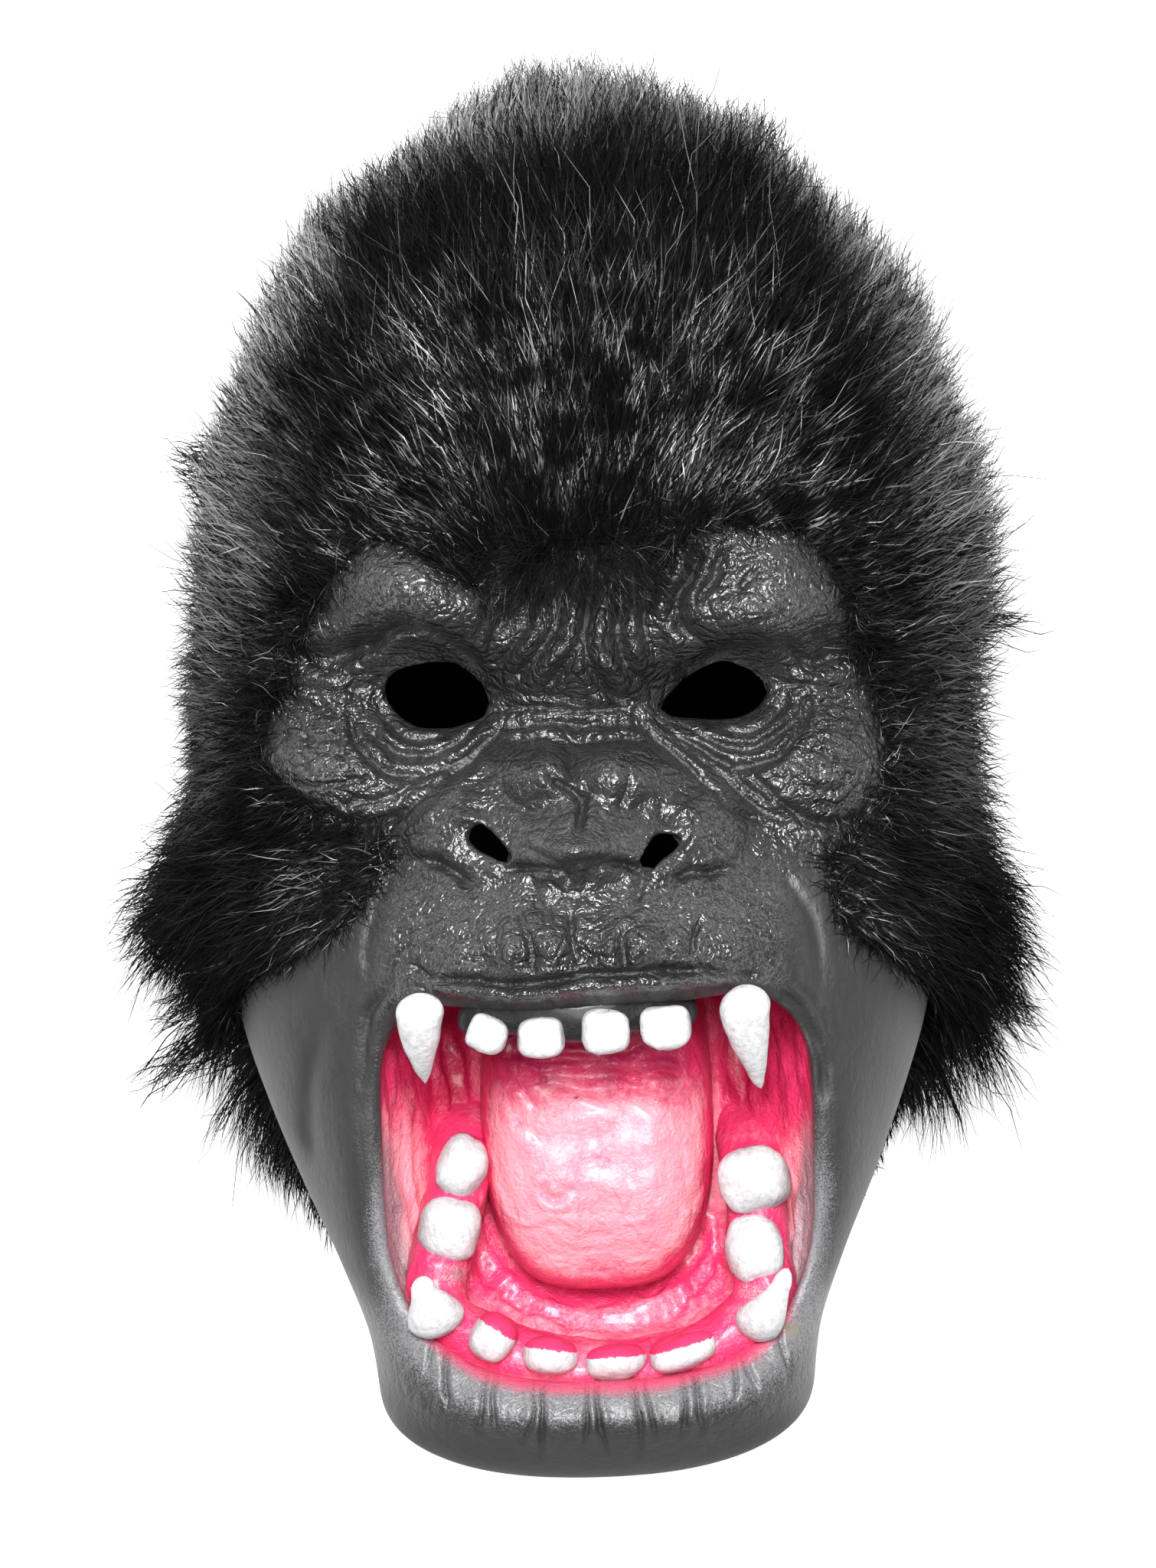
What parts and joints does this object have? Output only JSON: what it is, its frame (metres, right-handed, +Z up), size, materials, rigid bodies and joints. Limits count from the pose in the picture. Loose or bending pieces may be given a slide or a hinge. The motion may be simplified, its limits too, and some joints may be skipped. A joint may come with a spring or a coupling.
{
  "type": "gorilla mask",
  "caption": "Overhead costume mask of a roaring gorilla: hollow latex face with open mouth, teeth and tongue, and a glued black faux-fur hood, lying face up.",
  "frame": {"origin": "on the ground under the middle of the outline, with the mask lying on the back of its hood", "axes": "+X to the viewer's right across the face, +Y from the chin towards the crown, +Z up, out of the face"},
  "size_m": [0.239, 0.36, 0.1969],
  "materials": {
    "latex": "painted satin latex, charcoal face, pink mouth, white teeth",
    "fur": "black faux fur on a knitted backing"
  },
  "bodies": {
    "root": {"latex_mask": "latex", "fur_hood": "fur"}
  },
  "joints": []
}
